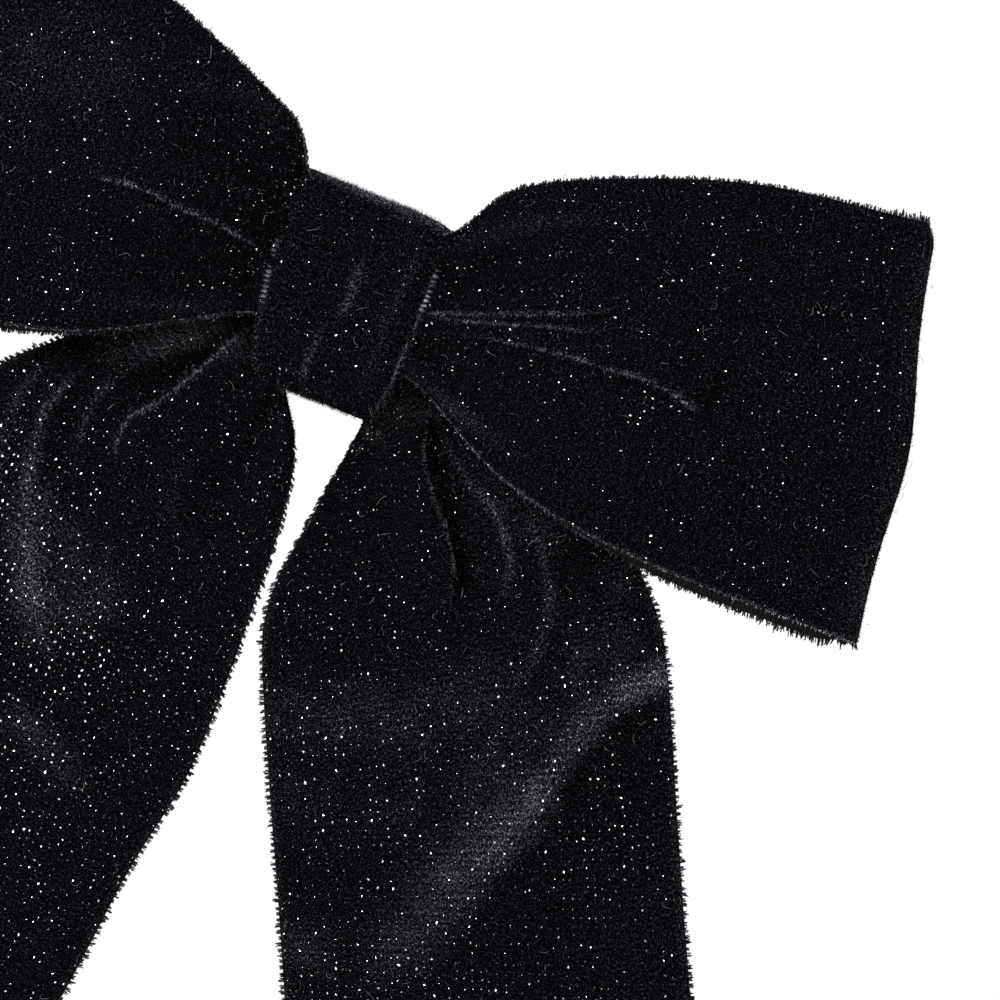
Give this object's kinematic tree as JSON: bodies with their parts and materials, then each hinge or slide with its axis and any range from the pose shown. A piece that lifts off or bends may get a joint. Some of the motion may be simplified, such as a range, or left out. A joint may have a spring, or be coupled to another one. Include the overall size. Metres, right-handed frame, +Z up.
{
  "type": "ribbon hair bow barrette",
  "caption": "Sparkling velvet ribbon hair bow: wide flattened loops, long slant-cut tails and a wrapped knot, sewn to an arched steel barrette with a snap-shut arm.",
  "frame": {"origin": "centre of the barrette's hair gap, halfway between the tension bar's middle and the closed arm", "axes": "+X along the bow's width, to the right as seen from the front; +Z up as the bow is worn; +Y towards the head, so the bow's front faces -Y"},
  "size_m": [0.216, 0.0371, 0.2425],
  "materials": {
    "velvet": "black velvet pile with metallic glitter",
    "thread": "black polyester sewing thread",
    "steel": "nickel-plated, satin",
    "spring_steel": "nickel-plated, brighter wear at the edges"
  },
  "bodies": {
    "bow": {"loop_ribbon": "velvet", "tail_ribbon": "velvet", "knot_band": "velvet", "gather_thread": "thread", "knot_seam_thread": "thread", "clip_thread_left": "thread", "clip_thread_right": "thread", "base_bar": "steel", "tension_bar": "spring_steel", "hinge_pin": "steel", "latch_plate": "spring_steel", "latch_rivet": "steel"},
    "arm": {"clasp_arm": "steel"},
    "upper_prong": {"latch_prong_upper": "spring_steel"},
    "lower_prong": {"latch_prong_lower": "spring_steel"}
  },
  "joints": [
    {"name": "arm_hinge", "type": "hinge", "parent": "bow", "child": "arm", "pos_m": [-0.037, 0.0042, 0], "axis": [0, 0, 1], "range_deg": [0, 85]},
    {"name": "latch_squeeze_upper", "type": "hinge", "parent": "bow", "child": "upper_prong", "pos_m": [0.037, 0.00065, 0.00285], "axis": [-1, 0, 0], "range_deg": [0, 10], "stiffness_Nm_per_rad": 0.04},
    {"name": "latch_squeeze_lower", "type": "hinge", "parent": "bow", "child": "lower_prong", "pos_m": [0.037, 0.00065, -0.00285], "axis": [1, 0, 0], "range_deg": [0, 10], "stiffness_Nm_per_rad": 0.04}
  ],
  "couplings": [
    {"joint": "latch_squeeze_lower", "follows": "latch_squeeze_upper", "ratio": 1}
  ]
}
